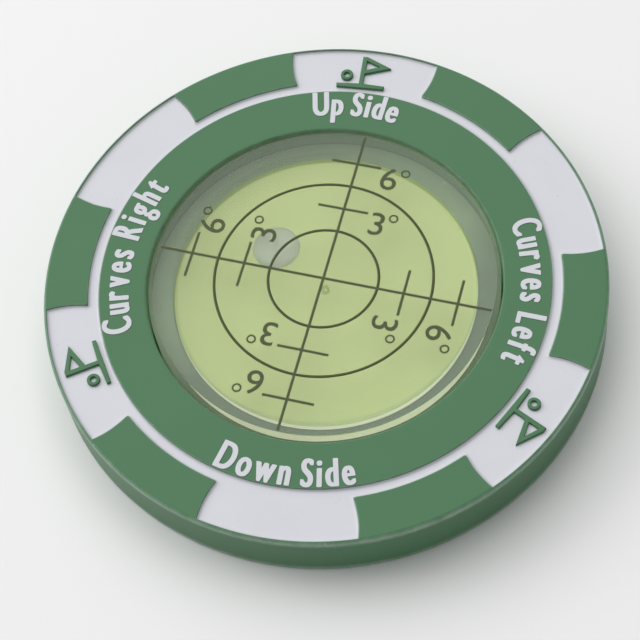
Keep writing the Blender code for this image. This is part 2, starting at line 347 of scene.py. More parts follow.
def recess_rule(root):
    """Nodes for a point's radius and for how far it stands in from the recess's edge."""
    x, y, z = parts_of(root.add("GeometryNodeInputPosition"))
    inner = take(root, "Block Inner")
    outer = take(root, "Recess Outer")
    corner = take(root, "Block Corner")
    radius = (x * x + y * y).sum("SQRT", x * x + y * y)
    bearing = x.sum("ABSOLUTE", x.sum("ARCTAN2", x, y))
    share = ((radius - inner) / (outer - inner)).clamped()
    swell = 4.0 * take(root, "Block Waist") * share * (1 - share)
    across = corner - ((bearing - take(root, "Half Segment")) * radius - swell)
    along = corner - (radius - inner)
    outside = x.sum("SQRT", across.most(0.0) ** 2.0 + along.most(0.0) ** 2.0)
    block = corner - outside - across.most(along).least(0.0)
    inside = (take(root, "Groove Inner") - radius).most(block).most(radius - outer)
    return radius, inside


def standing(inside, depth, edge, wall):
    """Height over a recess's floor: a near-upright wall, then a rounded edge."""
    short = (edge - inside).most(0.0).least(edge)
    rounded = inside.sum("SQRT", edge * edge - short * short)
    return ((inside + wall) / wall).clamped() * (depth - edge) + rounded


def edge_drop(distance, size):
    """How far a rounded outer edge has fallen, at a distance in from where it ends."""
    short = (size - distance).most(0.0).least(size)
    return size - distance.sum("SQRT", size * size - short * short)


rule_sizes = {
    "Block Inner": BLOCK_INNER,
    "Groove Inner": GROOVE_INNER,
    "Recess Outer": RECESS_OUTER,
    "Block Corner": BLOCK_CORNER,
    "Block Waist": BLOCK_WAIST,
    "Half Segment": HALF_SEGMENT,
}
casting_sizes = dict(rule_sizes)
casting_sizes.update({
    "Block Edge": BLOCK_EDGE,
    "Recess Wall": RECESS_WALL,
    "Front Depth": FRONT_DEPTH,
    "Back Depth": BACK_DEPTH,
    "Face Height": FACE,
    "Chip Radius": CHIP_RADIUS,
    "Rim Edge": RIM_EDGE,
    "Pocket Radius": POCKET_RADIUS,
    "Pocket Edge": POCKET_EDGE,
})
root = new_tree("casting_face", casting_sizes)
radius, inside = recess_rule(root)
edge = take(root, "Block Edge")
wall = take(root, "Recess Wall")
face = take(root, "Face Height")
to_rim = take(root, "Chip Radius") - radius
to_pocket = radius - take(root, "Pocket Radius")
rim_drop = edge_drop(to_rim, take(root, "Rim Edge"))
pocket_drop = edge_drop(to_pocket, take(root, "Pocket Edge"))
front_depth = take(root, "Front Depth")
back_depth = take(root, "Back Depth")
front = (face - front_depth + standing(inside, front_depth, edge, wall)).least(face - rim_drop)
front = front.least(face - pocket_drop)
back = (back_depth - standing(inside, back_depth, edge, wall)).most(rim_drop)
side = root.add("GeometryNodeInputNamedAttribute", {"data_type": "FLOAT"}, {"Name": "face"})
x, y, z = parts_of(root.add("GeometryNodeInputPosition"))
shape = take(root, "Geometry")
# The edge mask for rubbed paint and a painted highlight, along the rim, the pocket's edge and the blocks.
near_rim = (1 - to_rim / WEAR_AND_HIGHLIGHT_RIM).clamped()
near_block = (1 - inside.sum("ABSOLUTE", inside - WEAR_AND_HIGHLIGHT_BLOCK / 4) / WEAR_AND_HIGHLIGHT_BLOCK).clamped()
outside_pocket = x.sum("GREATER_THAN", to_pocket, -TINY) * x.sum("GREATER_THAN", side, 0.5)
near_pocket = (1 - to_pocket / WEAR_AND_HIGHLIGHT_POCKET).clamped() * outside_pocket
rim = (near_rim * 1.4).most(near_block).most(near_pocket) * x.sum("ABSOLUTE", side)
stored = root.add(
    "GeometryNodeStoreNamedAttribute",
    {"data_type": "FLOAT", "domain": "POINT"},
    {"Geometry": shape, "Name": "rim", "Value": rim},
)
raised = root.add(
    "GeometryNodeSetPosition",
    sockets={"Geometry": stored, "Selection": side.sum("GREATER_THAN", side, 0.5),
             "Position": joined(root, x, y, front)},
)
sunk = root.add(
    "GeometryNodeSetPosition",
    sockets={"Geometry": raised, "Selection": side.sum("LESS_THAN", side, -0.5),
             "Position": joined(root, x, y, back)},
)
paint = new_material("green_paint", {"Specular IOR Level": 0.35}, green_paint)
close_tree(root, turned_copies(root, sunk, SECTORS), paint)

skin = sheet(
    "casting_sheet", casting_rows, SECTOR_COLUMNS, lambda row, column: sector_point(row[0], row[1], column)
)
faces = skin.attributes.new("face", "FLOAT", "POINT")
faces.data.foreach_set("value", [row[2] for row in casting_rows for column in SECTOR_COLUMNS])
casting = run_tree("chip_casting", skin, root, casting_sizes)
smooth(casting.data, 50.0)
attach(casting, "chip")
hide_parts("chip_body")

# ---- The enamel ------------------------------------------------------------------------------
# Soft white enamel, poured into the recess on each face and baked. It dries level, a little below
# the metal, and climbs the metal's walls in a thin bright edge.
ENAMEL_THICKNESS = 0.28 * MM
ENAMEL_TUCK = 0.015 * MM  # how far it runs on into the metal
FRONT_CLIMB = 0.13 * MM
BACK_CLIMB = 0.06 * MM
CLIMB_SPREAD = 0.09 * MM
GRIME_AND_SHADE_SPREAD = 0.12 * MM


def white_enamel(root):
    """Glossy enamel: faint clouds and waves, specks of dust, and grime with painted contact shade against
    the walls.
    """
    cloud = mottle(root, 3.5 * MM, 3.0)
    speck = ((mottle(root, 0.3 * MM, 1.0) - 0.74) * 12.0).clamped()
    grime = root.add("ShaderNodeAttribute", {"attribute_name": "grime"}, out="Fac")
    colour = blend_colours(root, cloud, (0.63, 0.635, 0.69), (0.68, 0.69, 0.735))
    # Darker against the metal's walls: grime and painted contact shade.
    dirt_and_shade = grime * (0.15 + 0.3 * mottle(root, 1.1 * MM, 3.0))
    colour = blend_colours(root, dirt_and_shade, colour, (0.42, 0.46, 0.46))
    colour = blend_colours(root, speck * 0.3, colour, (0.35, 0.36, 0.36))
    height = cloud * 0.7 + mottle(root, 0.9 * MM) * 0.3
    return {
        "Base Color": colour,
        "Roughness": 0.16 + 0.14 * mottle(root, 1.7 * MM),
        "Normal": bumped(root, height, 0.03 * MM),
    }


enamel_beside = [-NEAR, -0.42 * MM, -0.3 * MM, -0.22 * MM, -0.16 * MM, -0.11 * MM, -0.07 * MM]
enamel_beside += [-0.035 * MM, 0.0, 0.026 * MM]
enamel_half = [(-NEAR, -i / 12, 1) for i in range(12, 0, -1)]
enamel_half += [(near, 0.0, 1) for near in enamel_beside]
enamel_half += [(0.12 * MM, 0.0, 1), (0.3 * MM, 0.0, 1), (NEAR, 0.0, 1)]
enamel_half += [(NEAR, i / 8, 1) for i in range(1, 9)]
enamel_columns = [(near, far, -1) for near, far, side in reversed(enamel_half[1:])] + enamel_half
enamel_radii = [GROOVE_INNER - near for near in enamel_beside]
enamel_radii += [BLOCK_INNER + near for near in enamel_beside]
enamel_radii += [BLOCK_INNER + 0.3 * MM * i for i in range(1, 9)]
enamel_radii += [RECESS_OUTER + near for near in enamel_beside]
enamel_rows = apart(enamel_radii, 0.012 * MM)

root = new_tree("enamel_fill", [*rule_sizes, "Level", "Climb", "Spread", "Thickness"])
radius, inside = recess_rule(root)
x, y, z = parts_of(root.add("GeometryNodeInputPosition"))
beyond = inside.sum("GREATER_THAN", inside, ENAMEL_TUCK)
kept = root.add(
    "GeometryNodeDeleteGeometry",
    {"domain": "FACE"},
    {"Geometry": take(root, "Geometry"), "Selection": beyond},
)
climb = inside.sum("EXPONENT", inside.least(0.0) / take(root, "Spread"))
# How near the metal's walls a point lies, for the grime and painted shade there.
grime = inside.sum("EXPONENT", inside.least(0.0) / GRIME_AND_SHADE_SPREAD)
level = take(root, "Level") + take(root, "Climb") * climb
poured = root.add(
    "GeometryNodeSetPosition",
    sockets={"Geometry": kept, "Position": joined(root, x, y, level)},
)
marked = root.add(
    "GeometryNodeStoreNamedAttribute",
    {"data_type": "FLOAT", "domain": "POINT"},
    {"Geometry": poured, "Name": "grime", "Value": grime},
)
under = root.add("GeometryNodeFlipFaces", sockets={"Mesh": marked})
sides = root.add(
    "GeometryNodeExtrudeMesh",
    sockets={"Mesh": under, "Offset": joined(root, 0.0, 0.0, -1.0), "Individual": False,
             "Offset Scale": take(root, "Thickness")},
)
solid = root.add("GeometryNodeJoinGeometry", sockets={"Geometry": [marked, sides]})
gloss = {"Specular IOR Level": 0.5, "Coat Weight": 0.25, "Coat Roughness": 0.08}
enamel_paint = new_material("white_enamel", gloss, white_enamel)
close_tree(root, turned_copies(root, solid, SECTORS), enamel_paint)


def pour(name, node, level, climb, thickness):
    """One face's enamel. A negative climb and thickness make the one that faces down."""
    flat = sheet(name, enamel_rows, enamel_columns, lambda row, column: sector_point(row, 0.0, column))
    sizes = dict(rule_sizes)
    sizes.update({"Level": level, "Climb": climb, "Spread": CLIMB_SPREAD, "Thickness": thickness})
    fill = run_tree(name, flat, root, sizes)
    if thickness < 0:
        fill.data.flip_normals()
    smooth(fill.data, 50.0)
    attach(fill, "chip")
    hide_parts(node)


front_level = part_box("front_enamel")[1].z
back_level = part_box("back_enamel")[0].z
pour("face_enamel", "front_enamel", front_level, FRONT_CLIMB, ENAMEL_THICKNESS)
pour("underside_enamel", "back_enamel", back_level, -BACK_CLIMB, -ENAMEL_THICKNESS)

# ---- The emblems -----------------------------------------------------------------------------
# A flag, its hole line and a ball, in the same metal and green paint, stand up through the enamel
# of every other segment. They are thin outlines with white between them.
EMBLEM_MARGIN = 0.5 * MM  # enamel left inside and outside an emblem
EMBLEM_BASE = GROOVE_INNER + EMBLEM_MARGIN
EMBLEM_HEIGHT = RECESS_OUTER - GROOVE_INNER - 2 * EMBLEM_MARGIN
EMBLEM_TOP = FACE - 0.01 * MM
EMBLEM_FOOT = FACE - 0.45 * MM
EMBLEM_EDGE = 0.05 * MM
EMBLEM_LINE = 0.09  # this and the outlines below are shares of the emblem's height
EMBLEM_SHAPES = (
    ((-0.7, 0.0), (0.7, 0.0), (0.7, 0.11), (0.07, 0.11), (0.07, 0.44), (0.74, 0.72), (0.07, 1.0),
     (-0.05, 1.0), (-0.05, 0.11), (-0.7, 0.11)),
    ((0.07, 0.57), (0.07, 0.87), (0.44, 0.72)),
)
BALL_PLACE = (-0.42, 0.38)
BALL_RADIUS = 0.17


def ring(radius, centre, count=32):
    """A circle as a loop of points."""
    turns = [2 * math.pi * i / count for i in range(count)]
    return [(centre[0] + radius * math.cos(a), centre[1] + radius * math.sin(a)) for a in turns]


def flat_shape(name, loops, low, high, bevel=0.0):
    """Flat outlines with holes, raised between two heights with rounded edges, as one mesh."""
    curve = bpy.data.curves.new(name, "CURVE")
    curve.dimensions = "2D"
    curve.fill_mode = "BOTH"
    curve.extrude = (high - low) / 2 - bevel
    curve.bevel_depth = bevel
    curve.bevel_resolution = 2
    curve.offset = -bevel
    for loop in loops:
        spline = curve.splines.new("POLY")
        spline.points.add(len(loop) - 1)
        for point, (across, up) in zip(spline.points, loop):
            point.co = (across, up, 0.0, 1.0)
        spline.use_cyclic_u = True
    drawn = bpy.data.objects.new(name, curve)
    bpy.context.scene.collection.objects.link(drawn)
    graph = bpy.context.evaluated_depsgraph_get()
    mesh = bpy.data.meshes.new_from_object(drawn.evaluated_get(graph))
    bpy.data.objects.remove(drawn)
    bpy.data.curves.remove(curve)
    built = bmesh.new()
    built.from_mesh(mesh)
    bmesh.ops.remove_doubles(built, verts=built.verts, dist=TINY / 20)
    bmesh.ops.recalc_face_normals(built, faces=built.faces)
    bmesh.ops.translate(built, verts=built.verts, vec=(0.0, 0.0, (low + high) / 2))
    built.to_mesh(mesh)
    built.free()
    mesh.materials.clear()
    return mesh


emblem_loops = [[(u * EMBLEM_HEIGHT, v * EMBLEM_HEIGHT) for u, v in shape] for shape in EMBLEM_SHAPES]
ball_centre = (BALL_PLACE[0] * EMBLEM_HEIGHT, BALL_PLACE[1] * EMBLEM_HEIGHT)
emblem_loops.append(ring(BALL_RADIUS * EMBLEM_HEIGHT, ball_centre))
emblem_loops.append(ring((BALL_RADIUS - EMBLEM_LINE) * EMBLEM_HEIGHT, ball_centre))
emblem = flat_shape("emblem", emblem_loops, EMBLEM_FOOT, EMBLEM_TOP, EMBLEM_EDGE)

root = new_tree("emblems_round_the_chip", ["Base Radius", "Emblem Height"])
x, y, z = parts_of(root.add("GeometryNodeInputPosition"))
radius = y + take(root, "Base Radius")
angle = x / (take(root, "Base Radius") + take(root, "Emblem Height") * 0.5)
bent = root.add(
    "GeometryNodeSetPosition",
    sockets={
        "Geometry": take(root, "Geometry"),
        "Position": joined(root, radius * x.sum("SINE", angle), radius * x.sum("COSINE", angle), z),
    },
)
close_tree(root, turned_copies(root, bent, 3), paint)
emblems = run_tree(
    "flag_emblems", emblem, root, {"Base Radius": EMBLEM_BASE, "Emblem Height": EMBLEM_HEIGHT}
)
smooth(emblems.data)
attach(emblems, "chip")

# ---- The words -------------------------------------------------------------------------------
# White enamel letters on the green ring, which say which way the ground falls. They stand just
# proud of the paint, and each word is bent round the dial letter by letter.
LETTER_TALL = 2.07 * MM
LETTER_MIDDLE = 14.9 * MM  # radius of the letters' mid height
LETTER_FOOT = FACE - 0.03 * MM
LETTER_TOP = FACE + 0.045 * MM
LETTER_SQUEEZE = 0.6
LETTER_FATTEN = (0.1 * MM, 0.035 * MM)  # sideways and up
FATTEN_STEPS = 14
WORD_SPACE = 3.4  # a space, in gaps between letters


def capital_height():
    """The built-in face's capital H at size one."""
    words = bpy.data.curves.new("H", "FONT")
    words.body = "H"
    drawn = bpy.data.objects.new("H", words)
    bpy.context.scene.collection.objects.link(drawn)
    bpy.context.view_layer.update()
    tall = drawn.dimensions.y
    bpy.data.objects.remove(drawn)
    bpy.data.curves.remove(words)
    return tall


CAPITAL = capital_height()


def letter_loops(character, tall, squeeze):
    """A character of the plain built-in face as loops of points, scaled by its capital H."""
    words = bpy.data.curves.new(character, "FONT")
    words.body = character
    drawn = bpy.data.objects.new(character, words)
    bpy.context.scene.collection.objects.link(drawn)
    graph = bpy.context.evaluated_depsgraph_get()
    loops = []
    for spline in drawn.evaluated_get(graph).to_curve(graph).splines:
        points = list(spline.bezier_points)
        loop = []
        for here, after in zip(points, points[1:] + points[:1]):
            curved = interpolate_bezier(here.co, here.handle_right, after.handle_left, after.co, 7)
            for spot in curved[:-1]:
                spot = (spot.x * tall * squeeze / CAPITAL, spot.y * tall / CAPITAL)
                if not loop or math.dist(spot, loop[-1]) > TINY:
                    loop.append(spot)
        loops.append(loop)
    drawn.to_curve_clear()
    bpy.data.objects.remove(drawn)
    bpy.data.curves.remove(words)
    return loops



def turning(loop):
    """Twice a loop's area, positive where it runs anticlockwise."""
    return sum(a[0] * b[1] - b[0] * a[1] for a, b in zip(loop, loop[1:] + loop[:1]))


def fat_shape(loops, low, high, fatten):
    """A raised shape with its strokes fattened: the union of copies shifted round an ellipse."""
    turns = [math.tau * step / FATTEN_STEPS for step in range(FATTEN_STEPS)]
    shifts = [(math.cos(turn) * fatten[0], math.sin(turn) * fatten[1]) for turn in turns]
    outer_sign = math.copysign(1, turning(max(loops, key=lambda loop: abs(turning(loop)))))
    points = []
    rings = []
    roles = []
    for number, (du, dv) in enumerate(shifts):
        for loop in loops:
            ordered = loop if turning(loop) > 0 else loop[::-1]
            rings.append(list(range(len(points), len(points) + len(ordered))))
            points += [Vector(((u + du) / MM, (v + dv) / MM)) for u, v in ordered]
            roles.append((number, turning(loop) * outer_sign > 0))
    spots, _, cells, _, _, origins = delaunay_2d_cdt(points, [], rings, 0, 1e-5)
    built = bmesh.new()
    corners = [built.verts.new((spot.x * MM, spot.y * MM, high)) for spot in spots]
    for cell, origin in zip(cells, origins):
        solid = {roles[i][0] for i in origin if roles[i][1]}
        hollow = {roles[i][0] for i in origin if not roles[i][1]}
        if solid - hollow:
            built.faces.new([corners[i] for i in cell])
    bmesh.ops.delete(built, geom=[v for v in built.verts if not v.link_faces], context="VERTS")
    bmesh.ops.dissolve_limit(built, angle_limit=math.radians(2), verts=built.verts, edges=built.edges)
    bmesh.ops.triangulate(built, faces=built.faces)
    lower = bmesh.ops.extrude_face_region(built, geom=list(built.faces), use_keep_orig=True)
    moved = [item for item in lower["geom"] if isinstance(item, bmesh.types.BMVert)]
    bmesh.ops.translate(built, verts=moved, vec=(0.0, 0.0, low - high))
    bmesh.ops.recalc_face_normals(built, faces=built.faces)
    return built


def word_mesh(word, width):
    """A straight word of a given width. Its points carry the middle of the letter they belong to."""
    built = bmesh.new()
    built.verts.layers.float.new("middle")
    letters = []
    for character in word.replace(" ", ""):
        loops = letter_loops(character, LETTER_TALL - 2 * LETTER_FATTEN[1], LETTER_SQUEEZE)
        across = [u for loop in loops for u, v in loop]
        letters.append((loops, min(across) - LETTER_FATTEN[0], max(across) + LETTER_FATTEN[0]))
    inked = sum(high - low for loops, low, high in letters)
    gap = (width - inked) / (len(word) - 1 + word.count(" ") * (WORD_SPACE - 1))
    drop = LETTER_TALL / 2 - LETTER_FATTEN[1]
    cursor = -width / 2
    for character in word:
        if character == " ":
            cursor += gap * (WORD_SPACE - 1)
            continue
        loops, low, high = letters.pop(0)
        placed = [[(u + cursor - low, v - drop) for u, v in loop] for loop in loops]
        letter = fat_shape(placed, LETTER_FOOT, LETTER_TOP, LETTER_FATTEN)
        place = letter.verts.layers.float.new("middle")
        for point in letter.verts:
            point[place] = cursor + (high - low) / 2
        mesh = bpy.data.meshes.new(character)
        letter.to_mesh(mesh)
        letter.free()
        built.from_mesh(mesh)
        bpy.data.meshes.remove(mesh)
        cursor += high - low + gap
    mesh = bpy.data.meshes.new(word)
    built.to_mesh(mesh)
    built.free()
    return mesh


root = new_tree("word_round_the_dial", ["Radius", "Bearing", "Facing"])
x, y, z = parts_of(root.add("GeometryNodeInputPosition"))
middle = root.add("GeometryNodeInputNamedAttribute", {"data_type": "FLOAT"}, {"Name": "middle"})
facing = take(root, "Facing")
angle = take(root, "Bearing") + facing * middle / take(root, "Radius")
outwards = take(root, "Radius") + facing * y
sideways = facing * (x - middle)
sine = x.sum("SINE", angle)
cosine = x.sum("COSINE", angle)
spot = joined(root, outwards * sine + sideways * cosine, outwards * cosine - sideways * sine, z)
wrapped = root.add(
    "GeometryNodeSetPosition", sockets={"Geometry": take(root, "Geometry"), "Position": spot}
)
letter_paint = new_material("letter_enamel", {"Specular IOR Level": 0.5}, white_enamel)
close_tree(root, wrapped, letter_paint)

# A name, its words, their bearing and span in degrees, and 1 where letters' tops point outwards.
WORDS = (
    ("up_words", "Up Side", 0.4, 25.8, 1),
    ("right_words", "Curves Left", 87.4, 46.7, 1),
    ("down_words", "Down Side", 180.4, 37.3, -1),
    ("left_words", "Curves Right", 271.8, 51.5, 1),
)
for name, word, bearing, span, facing_out in WORDS:
    straight = word_mesh(word, math.radians(span) * LETTER_MIDDLE)
    sizes = {"Radius": LETTER_MIDDLE, "Bearing": math.radians(bearing), "Facing": float(facing_out)}
    line = run_tree(name, straight, root, sizes)
    smooth(line.data)
    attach(line, "chip")

# ---- The backing -----------------------------------------------------------------------------
# A white reflecting disc lies in the pocket, and a ring of adhesive round it holds the vial.
# Both are plain pieces of the frame with their own finishes, and so is the clear plug.


def reflecting_film(root):
    """Matt white film, faintly uneven where the glue has wetted it."""
    cloud = mottle(root, 5 * MM, 3.0)
    return {
        "Base Color": blend_colours(root, cloud, (0.7, 0.73, 0.48), (0.75, 0.78, 0.53)),
        "Roughness": 0.5 + 0.15 * mottle(root, 0.4 * MM),
        "Normal": bumped(root, mottle(root, 0.15 * MM), 0.004 * MM),
    }


SHADE_SIDE = (0.5, -0.86)  # the way from the dial's middle towards the side darkened by painted shade
SHADE_BLEND = 4 * MM


def cured_adhesive(root):
    """Cloudy adhesive with voids, and painted shade that darkens it towards one side."""
    cloud = mottle(root, 1.6 * MM, 4.0, 0.6)
    x, y, z = parts_of(root.add("ShaderNodeTexCoord", out="Object"))
    # Painted shade: darker towards the side nearest the camera.
    painted_shade = (x * SHADE_SIDE[0] + y * SHADE_SIDE[1]) / SHADE_BLEND + 1.2 * mottle(root, 5 * MM, 2.0) - 0.3
    void = ((mottle(root, 0.5 * MM, 1.0) - 0.68) * 9.0).clamped()
    colour = blend_colours(root, cloud, (0.12, 0.205, 0.1), (0.17, 0.27, 0.14))
    colour = blend_colours(root, void * 0.5, colour, (0.42, 0.5, 0.36))
    return {
        "Base Color": blend_colours(root, painted_shade.clamped(), colour, (0.02, 0.06, 0.025)),
        "Roughness": 0.3 + 0.3 * cloud,
        "Normal": bumped(root, mottle(root, 2.5 * MM, 1.0), 0.01 * MM),
    }


def refinish(node, material):
    """Gives a plain piece of the frame another finish."""
    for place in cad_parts[node].material_slots:
        place.material = material


refinish("reflector_disc", new_material("white_film", {"Specular IOR Level": 0.3}, reflecting_film))
refinish("adhesive_ring", new_material("adhesive", {"Specular IOR Level": 0.3}, cured_adhesive))

# ---- The vial --------------------------------------------------------------------------------
# A cup and a lens of clear acrylic, moulded and welded at the flange. The lens is flat on top and
# domed underneath, so the bubble seeks its middle. Surfaces that the liquid or the adhesive wets
# don't bend light, so only the lens's dry skin is a refracting one.
TURNS = 192
VIAL_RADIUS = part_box("vial_lens")[1].x
VIAL_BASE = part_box("vial_cup")[0].z
CUP_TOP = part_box("vial_cup")[1].z
LENS_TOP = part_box("vial_lens")[1].z
VIAL_WALL = 1.6 * MM
CHAMBER_RADIUS = VIAL_RADIUS - VIAL_WALL
CHAMBER_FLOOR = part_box("fill_plug")[1].z
CHAMBER_FILLET = 0.4 * MM
DOME_RADIUS = 97.0 * MM
LENS_THICKNESS = 0.6 * MM
DOME_TOP = LENS_TOP - LENS_THICKNESS
DOME_CENTRE = DOME_TOP - DOME_RADIUS
DOME_STEPS = 16
FILLET_STEPS = 6
PORT_RADIUS = 0.4 * MM
LENS_BEVEL = 0.3 * MM
LENS_FLANGE = 0.9 * MM
INK = 0.012 * MM  # thickness of the print on top of the lens
LENS_FACE = LENS_TOP - INK


def lathe(name, profile, closed=False, wet=()):
    """Turns (radius, height) points, which run down the outer side. Listed spans get slot 1."""
    built = bmesh.new()
    rings = []
    for radius, height in profile:
        if radius < TINY:
            rings.append([built.verts.new((0.0, 0.0, height))])
            continue
        turns = [2 * math.pi * i / TURNS for i in range(TURNS)]
        rings.append([built.verts.new((radius * math.cos(a), radius * math.sin(a), height)) for a in turns])
    spans = list(zip(rings, rings[1:] + rings[:1])) if closed else list(zip(rings, rings[1:]))
    for number, (upper, lower) in enumerate(spans):
        for i in range(TURNS):
            after = (i + 1) % TURNS
            corners = [upper[i % len(upper)], lower[i % len(lower)]]
            corners += [lower[after % len(lower)], upper[after % len(upper)]]
            unique = list(dict.fromkeys(corners))
            if len(unique) > 2:
                made = built.faces.new(unique)
                made.material_index = 1 if number in wet else 0
    mesh = bpy.data.meshes.new(name)
    built.to_mesh(mesh)
    built.free()
    piece = bpy.data.objects.new(name, mesh)
    bpy.context.scene.collection.objects.link(piece)
    smooth(mesh)
    return piece


def clear_mix(name, share, even, varying, shadow=False):
    """A clear material: a Principled finish mixed into a see-through one by a share.

    With shadow, the share is the finish's own and light passes straight through to what is below.
    """
    material = new_material(name, even, varying)
    root = Wire(material.node_tree)
    body = Wire(root.tree, root.tree.nodes["Principled BSDF"].outputs[0])
    through = root.add("ShaderNodeBsdfTransparent")
    output = root.tree.nodes["Material Output"]
    if shadow:
        factor = root.add("ShaderNodeLightPath", out="Is Shadow Ray")
        mixed = root.add("ShaderNodeMixShader", sockets={0: factor, 1: body, 2: through})
    else:
        factor = share(root) if callable(share) else share
        mixed = root.add("ShaderNodeMixShader", sockets={0: factor, 1: through, 2: body})
    root.tree.links.new(mixed.socket, output.inputs["Surface"])
    return material


def polished_acrylic(root):
    """Moulded acrylic, which is a very little wavy."""
    return {"Normal": bumped(root, mottle(root, 6 * MM, 0.0), 0.0015 * MM)}


def wetted_acrylic(root):
    """Where acrylic meets liquid or glue: only a slight green haze is left of it."""
    haze = mottle(root, 2.5 * MM, 3.0)
    return {
        "Base Color": blend_colours(root, haze, (0.34, 0.48, 0.26), (0.48, 0.6, 0.38)),
        "Roughness": 0.3 + 0.2 * haze,
    }


lens_skin = clear_mix(
    "clear_acrylic",
    None,
    {"Base Color": (0.97, 0.985, 0.96, 1.0), "Transmission Weight": 1.0, "Roughness": 0.0, "IOR": 1.49},
    polished_acrylic,
    shadow=True,
)
wet_skin = clear_mix("wetted_acrylic", 0.13, {"Specular IOR Level": 0.2}, wetted_acrylic)
wet_lens = clear_mix("wetted_lens", 0.02, {"Specular IOR Level": 0.2}, wetted_acrylic)


def unseen_by_light(piece):
    """Lets light reach what lies under a clear piece, as it does through clear acrylic."""
    piece.visible_diffuse = False
    piece.visible_shadow = False


def dome_points(radius, drop):
    """Points of the dome, or of a surface a distance under it, from the middle out."""
    spots = [radius * i / DOME_STEPS for i in range(DOME_STEPS + 1)]
    return [(r, DOME_CENTRE + math.sqrt((DOME_RADIUS - drop) ** 2 - r**2)) for r in spots]


spigot = CHAMBER_RADIUS - SEAT_GAP
profile = [
    (0.0, LENS_FACE),
    (VIAL_RADIUS - LENS_BEVEL, LENS_FACE),
    (VIAL_RADIUS, LENS_FACE - LENS_BEVEL),
    (VIAL_RADIUS, LENS_TOP - LENS_FLANGE),
    (spigot, LENS_TOP - LENS_FLANGE),
]
profile += reversed(dome_points(spigot, 0.0))
lens = lathe("lens", profile, wet=range(2, len(profile)))
lens.data.materials.append(lens_skin)
lens.data.materials.append(wet_lens)
unseen_by_light(lens)
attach(lens, "chip")
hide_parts("vial_lens")


def fillet_points(radius, floor):
    """The chamber's lower edge, from the floor up to a wall of a given radius."""
    turns = [math.pi / 2 * i / FILLET_STEPS for i in range(FILLET_STEPS + 1)]
    inner = radius - CHAMBER_FILLET
    rises = [CHAMBER_FILLET * (1 - math.cos(turn)) for turn in turns]
    return [(inner + CHAMBER_FILLET * math.sin(turn), floor + up) for turn, up in zip(turns, rises)]


profile = [(VIAL_RADIUS, CUP_TOP), (VIAL_RADIUS, VIAL_BASE)]
profile += [(PORT_RADIUS, VIAL_BASE), (PORT_RADIUS, CHAMBER_FLOOR)]
profile += fillet_points(CHAMBER_RADIUS, CHAMBER_FLOOR)
profile.append((CHAMBER_RADIUS, CUP_TOP))
cup = lathe("cup", profile, closed=True)
cup.data.materials.append(wet_skin)
unseen_by_light(cup)
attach(cup, "chip")
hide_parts("vial_cup")


SEAM_RADIUS = 0.24 * MM
SEAM_REACH = 0.05 * MM


def plug_seam(root):
    """The plug's edge shows as a fine dark ring where it is glued into its hole."""
    x, y, z = parts_of(root.add("ShaderNodeTexCoord", out="Object"))
    away = x.sum("SQRT", x * x + y * y)
    return 0.05 + 0.95 * (1.6 - x.sum("ABSOLUTE", away - SEAM_RADIUS) / SEAM_REACH).clamped()


def plug_glue(root):
    """Dark glue in the plug's seam."""
    cloud = mottle(root, 0.3 * MM)
    return {"Base Color": blend_colours(root, cloud, (0.02, 0.03, 0.01), (0.06, 0.08, 0.04))}


plug_skin = clear_mix("plug_acrylic", plug_seam, {"Roughness": 0.3}, plug_glue)
refinish("fill_plug", plug_skin)
unseen_by_light(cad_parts["fill_plug"])

# ---- The liquid and its bubble ---------------------------------------------------------------
# Yellow-green dyed spirit fills the chamber but for one flat bubble of air, which floats against
# the dome. The bubble is broad and shallow, with a painted reflection over it and painted shade at its rim.
LIQUID_GAP = 0.01 * MM
CLEAR_SPANS = DOME_STEPS + 3  # dome, wall and the top of the fillet, which look clear


def dyed_spirit(root):
    """The dye's own colour, hardly uneven at all."""
    cloud = mottle(root, 9 * MM)
    return {"Base Color": blend_colours(root, cloud, (0.32, 0.45, 0.035), (0.35, 0.48, 0.045))}


liquid_radius = CHAMBER_RADIUS - LIQUID_GAP
liquid_floor = CHAMBER_FLOOR + LIQUID_GAP
profile = dome_points(liquid_radius, LIQUID_GAP)
profile += reversed(fillet_points(liquid_radius, liquid_floor))
profile.append((0.0, liquid_floor))
liquid = lathe("dyed_liquid", profile, wet=range(CLEAR_SPANS))
liquid.data.materials.append(clear_mix("tinted_spirit", 0.62, {"Roughness": 0.4}, dyed_spirit))
liquid.data.materials.append(clear_mix("spirit_against_dome", 0.02, {"Roughness": 0.4}, dyed_spirit))
unseen_by_light(liquid)
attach(liquid, "liquid")
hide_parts("vial_liquid")


def bubble_share(root):
    """How much of the bubble's painted reflection and shade is seen: some over the middle, more at the rim.
    """
    facing = root.add("ShaderNodeLayerWeight", sockets={"Blend": 0.35}, out="Facing")
    return 0.45 + 0.5 * (facing ** 3.0)


def bubble_painted_light(root):
    """Painted reflection and shade: a pale grey-green over the middle, painted darker towards the rim."""
    facing = root.add("ShaderNodeLayerWeight", sockets={"Blend": 0.35}, out="Facing")
    cloud = mottle(root, 1.5 * MM)
    # Painted reflection: a pale grey-green where the bubble's skin would reflect the surround.
    pale = blend_colours(root, cloud, (0.31, 0.37, 0.32), (0.38, 0.43, 0.38))
    # Painted shade: darker towards the bubble's rim.
    return {"Base Color": blend_colours(root, facing ** 4.0, pale, (0.16, 0.22, 0.13))}


